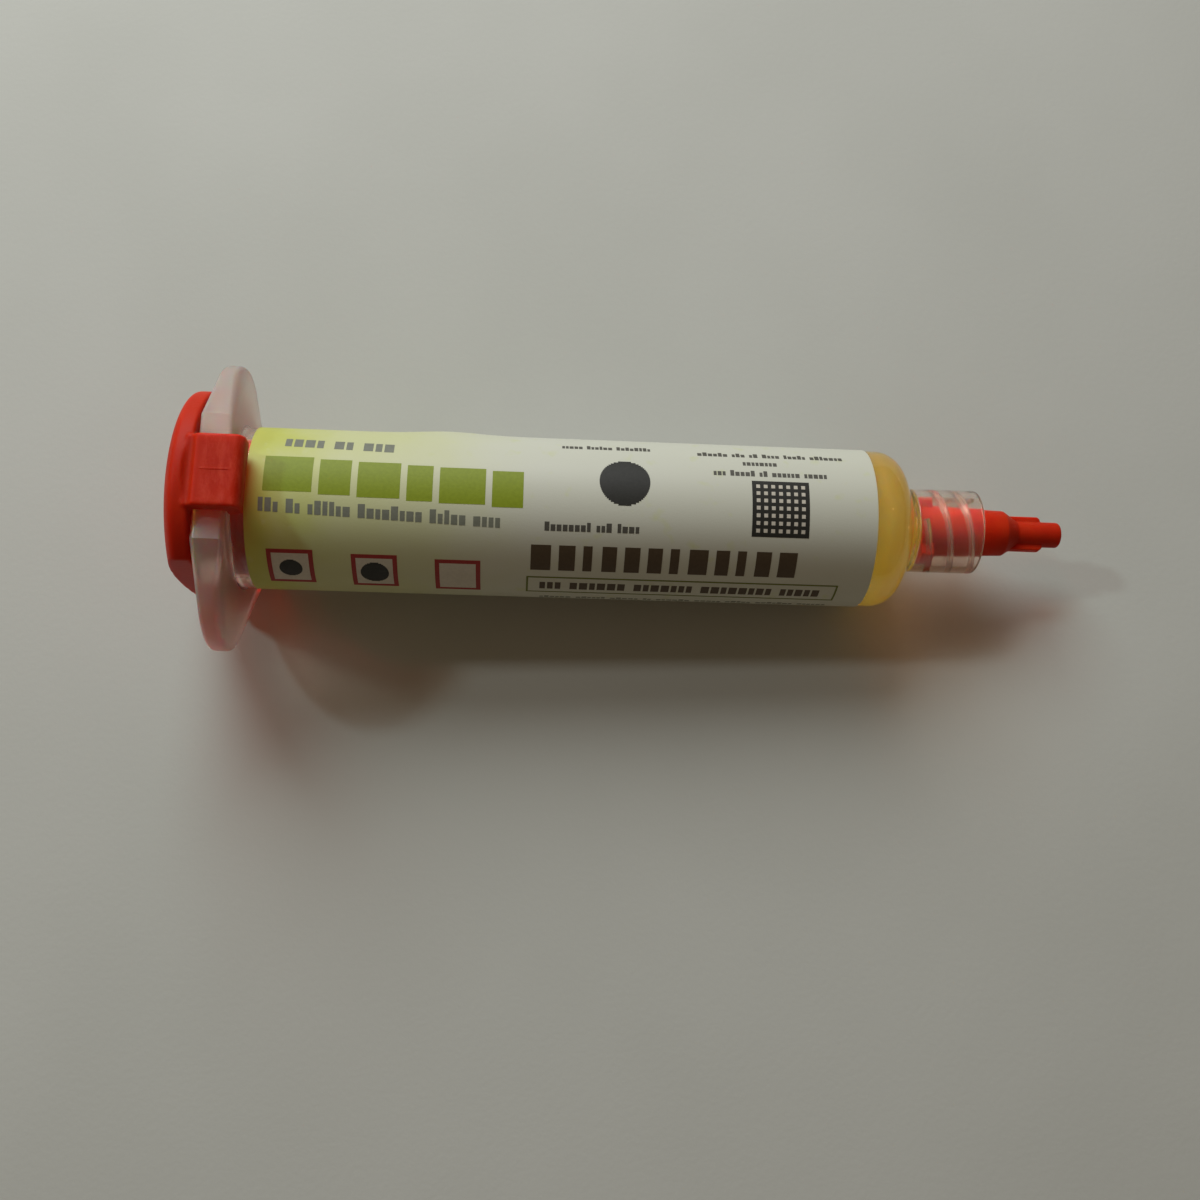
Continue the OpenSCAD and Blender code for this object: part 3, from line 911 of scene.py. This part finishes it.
# %% Bubbles in the gel
bubble_tree, given = new_tree(
    "trapped_bubbles", {"Density": 0.2, "Smallest": 0.04, "Largest": 0.13, "Seed": 4}
)
spread = node(bubble_tree, "GeometryNodeDistributePointsOnFaces", {
    "Mesh": given["Geometry"], "Density": given["Density"], "Seed": given["Seed"],
})
bead = node(bubble_tree, "GeometryNodeMeshIcoSphere", {"Radius": 1.0, "Subdivisions": 2})["Mesh"]
bead_size = node(bubble_tree, "FunctionNodeRandomValue", {
    2: given["Smallest"], 3: given["Largest"], "Seed": given["Seed"],
}, data_type="FLOAT")[1]
beads = node(bubble_tree, "GeometryNodeInstanceOnPoints", {
    "Points": spread["Points"], "Instance": bead, "Scale": bead_size,
})["Instances"]
ends_with(bubble_tree, given, beads)
shore_profile = shoulder(gel_radius - 0.08, 2.2, gel_bend, steps=8)
shore = spun(rounded(shore_profile + [(1.9, body_end, 0)]), 48)
shore_mesh = bpy.data.meshes.new("shoulder_of_gel")
shore.to_mesh(shore_mesh)
shore.free()
air = finish("trapped_air", (0.80, 0.60, 0.26), 0.2, Specular_IOR_Level=0.6)
mottled(air, (0.74, 0.52, 0.20), (0.86, 0.68, 0.34), 1.2)
bubbles = laid_down(grown("flux_bubbles", bubble_tree, air, seed_mesh=shore_mesh))
report(bubbles)
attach(bubbles, "barrel")

# %% [markdown]
# ## Piston
#
# The piston is a hollow red plug behind the gel, hidden by the label. Its CAD shape is right as it
# stands, so it stays and only gets a better finish.

# %% Finish of the piston
piston_plastic = finish("piston_plastic", (0.62, 0.05, 0.03), 0.4)
mottled(piston_plastic, (0.56, 0.04, 0.025), (0.68, 0.06, 0.035), 0.3)
grained(piston_plastic, 2.0, 0.00002)
for slot in frame["nodes"]["piston"].material_slots:
    slot.material = piston_plastic

# %% [markdown]
# ## End cap
#
# The end cap is one red-orange moulding: a shallow dome with a flat on one side, a hollow
# plug that presses into the bore, and two spring clips that hook over the flange. A groove across
# each clip's root lets it bend. The parts are joined with booleans and then melted into one skin
# with soft corners.

# %% Dome, rim and plug
disc_radius, dome_base, dome_rise, disc_front = 12.97, -1.6, 2.6, -0.05
plug_radius, plug_end, plug_wall, hollow_end, bead = 7.66, 8.0, 1.2, -2.7, 0.25
dome = [(r, -x, 0) for r, x, _ in quarter(disc_radius, 0, -dome_base, dome_rise)][::-1]
cap_profile = rounded(dome + [
    (disc_radius, disc_front, 0.3),
    (plug_radius, disc_front, 0.15),
    (plug_radius, 4.8, 0),
    (plug_radius + bead, 5.3, 0.3),
    (plug_radius + bead, 6.4, 0.3),
    (plug_radius - bead, plug_end, 0.3),
    (plug_radius - plug_wall, plug_end, 0.3),
    (plug_radius - plug_wall, -1.2, 0),
    (plug_radius - 1.95, hollow_end, 0.8),
    (0, hollow_end, 0),
])
end_cap = as_object(spun(cap_profile, 128), "end_cap_moulding")

# %% A prism, and its two copies on the end cap
def drawn_out(corners, along):
    """A closed bmesh: a flat face with these corners, drawn out along a vector."""
    shape = bmesh.new()
    face = shape.faces.new([shape.verts.new(corner) for corner in corners])
    made = bmesh.ops.extrude_face_region(shape, geom=[face])
    moved = [v for v in made["geom"] if isinstance(v, bmesh.types.BMVert)]
    bmesh.ops.translate(shape, verts=moved, vec=along)
    bmesh.ops.recalc_face_normals(shape, faces=shape.faces)
    return shape


def slab(outline, half_width, name, axis="Y"):
    """A prism with an outline in x and z, from -half_width to half_width along an axis."""
    shape = drawn_out([(x, -half_width, z) for x, z in outline], (0, 2 * half_width, 0))
    if axis == "Z":
        bmesh.ops.rotate(shape, verts=shape.verts, matrix=Matrix.Rotation(math.pi / 2, 3, "X"))
    return as_object(shape, name)


def above_and_below(outline, half_width, name, operation):
    """Joins a prism to the end cap, or cuts it out, above the barrel's axis and below it."""
    for turn in (0.0, math.pi):
        tool = slab(outline, half_width, name)
        tool.data.transform(Matrix.Rotation(turn, 4, "X"))
        boolean(end_cap, tool, operation)


# %% Clips, their grooves and the finger flat
clip_root, clip_inside, clip_outside, clip_half = -0.65, 11.12, 13.07, 4.0
hook_start, hook_end, hook_inside, hook_round, hook_steps = 3.62, 5.32, 9.65, 1.1, 8
clip_outline = [(clip_root, clip_inside), (hook_start, clip_inside), (hook_start, hook_inside)]
clip_outline += [(hook_end - 0.63, hook_inside), (hook_end, hook_inside + 0.76)]
for step in range(hook_steps + 1):
    turn = math.pi / 2 * step / hook_steps
    clip_outline.append((hook_end - hook_round + hook_round * math.cos(turn),
                         clip_outside - hook_round + hook_round * math.sin(turn)))
clip_outline.append((clip_root, clip_outside))
above_and_below(clip_outline, clip_half, "clip", "UNION")
groove_radius, groove_x, groove_z, groove_half = 0.7, -0.3, 13.27, 4.2
groove_outline = [
    (groove_radius * math.cos(math.radians(a)) + groove_x,
     groove_radius * math.sin(math.radians(a)) + groove_z)
    for a in range(0, 360, 15)
]
above_and_below(groove_outline, groove_half, "groove", "DIFFERENCE")
flat_place, flat_cut = 9.0, 2.5
grip = slab([(-5, -14), (0.5, -14), (0.5, 14), (-5, 14)], flat_cut, "finger_flat")
grip.data.transform(Matrix.Translation((0, -(flat_place + flat_cut), 0)))
boolean(end_cap, grip, "DIFFERENCE")
melted(end_cap, grain=0.17, rounds=4)
laid_down(end_cap)
report(end_cap)

# %% [markdown]
# The plastic is a saturated red-orange with a soft sheen. It lets a little light in, which warms
# the thin edges. Where the mould's halves met, a hair-fine line runs along the middle of each clip,
# and handling has left faint pale scuffs on both.

# %% Finish of the caps
def cap_finish(name, dark, light, tint):
    """The caps' plastic, with the nodes that make its colour and its bump."""
    material = finish(
        name, light, 0.5, Subsurface_Weight=0.7, Subsurface_Scale=0.002,
        Subsurface_Radius=(1.2, 0.25, 0.06), Specular_IOR_Level=0.1,
    )
    colour = mottled(material, dark, light, 0.25)
    bump = grained(material, 3.0, 0.00003)
    lets_lamps_through(material, tint)
    return material, colour, bump.outputs["Normal"]


cap_plastic, plain, bumpy = cap_finish(
    "cap_plastic", (0.41, 0.015, 0.003), (0.47, 0.022, 0.004), (0.57, 0.06, 0.03)
)
axes = add(cap_plastic, "ShaderNodeSeparateXYZ", Vector=barrel_coordinates(cap_plastic)).outputs
past_root = ramp(cap_plastic, axes["X"], 0.9, 1.3)
above_plug = ramp(cap_plastic, off_axis(cap_plastic), 10.5, 11.0)
on_clip = maths(cap_plastic, "MULTIPLY", past_root, above_plug)

# %% Parting line on the clips
before_hook = ramp(cap_plastic, axes["X"], 3.8, 4.2, 1.0, 0.0)
from_middle = maths(cap_plastic, "ABSOLUTE", axes["Y"])
near_middle = ramp(cap_plastic, from_middle, 0.05, 0.14, 1.0, 0.0)
line = maths(cap_plastic, "MULTIPLY", before_hook, near_middle)
parting = add(cap_plastic, "ShaderNodeBump", Height=maths(cap_plastic, "MULTIPLY", line, on_clip),
              Distance=0.00008, Strength=1.0, Normal=bumpy)
drive(cap_plastic, parting.outputs["Normal"], "Normal")

# %% Scuffs on the clips
streaks = add(cap_plastic, "ShaderNodeMapping", Vector=barrel_coordinates(cap_plastic),
              Rotation=(0, 0, 0.6), Scale=(1.6, 0.5, 1))
scratches = add(cap_plastic, "ShaderNodeTexNoise", Vector=streaks.outputs["Vector"],
                Scale=0.9, Detail=8.0, Roughness=0.7)
scratched = ramp(cap_plastic, scratches.outputs["Fac"], 0.42, 0.66)
worn = maths(cap_plastic, "MULTIPLY", scratched, on_clip)
drive(cap_plastic, between(cap_plastic, worn, plain, (0.52, 0.042, 0.018)), "Base Color")
coat(end_cap, cap_plastic)
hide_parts("end_cap")
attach(end_cap, "end_cap")

# %% [markdown]
# ## Tip cap
#
# The tip cap screws into the skirt: two lugs catch the thread, and its inside seals on the tip's
# cone. Outside there is a short body, a knob to hold and two thin wings to turn it by.

# %% Body and knob
cap_rear, cap_body_end, cap_cone_end, cap_end = 81.0, 91.5, 93.2, 98.4
seat_start, blind_end, sleeve, seat_clear = 85.0, 90.4, 2.369, 0.02
tip_cap_profile = rounded([
    (sleeve, cap_rear, 0.1),
    (3.0, cap_rear, 0.15),
    (2.65, cap_body_end, 0.3),
    (1.5, cap_cone_end, 0.4),
    (1.5, cap_end, 0.35),
    (0, cap_end, 0),
    (0, blind_end, 0),
    (tip_radius + seat_clear, blind_end, 0),
    (tip_radius + seat_clear, tip, 0),
    (2.155, seat_start, 0),
    (sleeve, seat_start - 0.2, 0),
])
tip_cap = as_object(spun(tip_cap_profile, 96), "tip_cap_moulding")

# %% Wings and lugs
wing_start, wing_end, half_span, wing_half, nip = 91.2, cap_cone_end + 3.0, 2.05, 0.55, 0.3
wing_outline = [(wing_start, -half_span), (wing_end - nip, -half_span), (wing_end, nip - half_span),
                (wing_end, half_span - nip), (wing_end - nip, half_span), (wing_start, half_span)]
wings = slab(wing_outline, wing_half, "wings", axis="Z")
boolean(tip_cap, wings, "UNION")
lug_reach, lug_thickness = 3.88, 1.5
lug_outline = [
    (lug_reach * math.sin(math.radians(a)), lug_reach * math.cos(math.radians(a)))
    for a in range(-34, 35, 4)
] + [(2.1, 2.0), (-2.1, 2.0)]
for upside in (1, -1):
    corners = [(cap_rear, up * upside, across) for across, up in lug_outline]
    boolean(tip_cap, as_object(drawn_out(corners, (lug_thickness, 0, 0)), "lug"), "UNION")
sleeve_start, sleeve_end = 80.5, 84.8
sleeve_profile = [(0, sleeve_start), (sleeve, sleeve_start), (sleeve, sleeve_end), (0, sleeve_end)]
boolean(tip_cap, as_object(spun(sleeve_profile, 96), "sleeve"), "DIFFERENCE")
melted(tip_cap, grain=0.08, rounds=4)
laid_down(tip_cap)
report(tip_cap)
tip_plastic, _, _ = cap_finish(
    "tip_plastic", (0.42, 0.015, 0.003), (0.48, 0.024, 0.004), (0.46, 0.06, 0.035)
)
coat(tip_cap, tip_plastic)
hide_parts("tip_cap")
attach(tip_cap, "tip_cap")

# %% [markdown]
# ## Table top and light
#
# The syringe lies on a plain pale sheet of board. A large soft lamp behind it lights its far side
# and lets the near side fall off. A smaller lamp from the left draws the flange's round shadow. A
# dim, warm world fills the shade. Together they are set so that a colour looks about as written.

# %% Board
board_mesh = bpy.data.meshes.new("board")
BOARD_HALF = 3.0
signs = ((-1, -1), (1, -1), (1, 1), (-1, 1))
board_corners = [(BOARD_HALF * x, BOARD_HALF * y, 0) for x, y in signs]
board_mesh.from_pydata(board_corners, [], [(0, 1, 2, 3)])
board = bpy.data.objects.new("board", board_mesh)
bpy.context.scene.collection.objects.link(board)
board_paint = finish("board_paint", (0.47, 0.48, 0.435), 0.85, Specular_IOR_Level=0.2)
mottled(board_paint, (0.46, 0.47, 0.425), (0.48, 0.49, 0.445), 0.03)
grained(board_paint, 1.5, 0.00002)
board_mesh.materials.append(board_paint)
board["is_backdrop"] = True

# %% Lamps and world
def soft_lamp(name, watts, size, place, colour=(1, 1, 1)):
    """A round area lamp, aimed at the middle of the syringe."""
    lamp = bpy.data.lights.new(name, "AREA")
    lamp.energy = watts
    lamp.shape = "DISK"
    lamp.size = size
    lamp.color = colour
    holder = bpy.data.objects.new(name, lamp)
    holder.location = place
    aim = Vector((0.0, 0.0, 0.008)) - Vector(place)
    holder.rotation_euler = aim.to_track_quat("-Z", "Y").to_euler()
    holder.visible_camera = False
    bpy.context.scene.collection.objects.link(holder)
    return holder


soft_lamp("window_lamp", 2.05, 0.30, (-0.12, 0.36, 0.30), colour=(0.97, 1.0, 1.03))
soft_lamp("side_lamp", 0.45, 0.045, (-0.37, 0.14, 0.36))
world = bpy.data.worlds.new("pale_room")
bpy.context.scene.world = world
world.use_nodes = True
background = world.node_tree.nodes["Background"]
background.inputs["Color"].default_value = (1.0, 0.74, 0.50, 1)
background.inputs["Strength"].default_value = 0.13

# %% [markdown]
# ## Last settings
#
# The settings of the view stay plain, and the size of the dressed model is printed.

# %% Sizes and finish
bpy.context.scene.view_settings.view_transform = "Standard"
new_low, new_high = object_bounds()
extents = [round(1000 * (b - a), 2) for a, b in zip(new_low, new_high)]
print("size of the dressed model, mm:", extents)
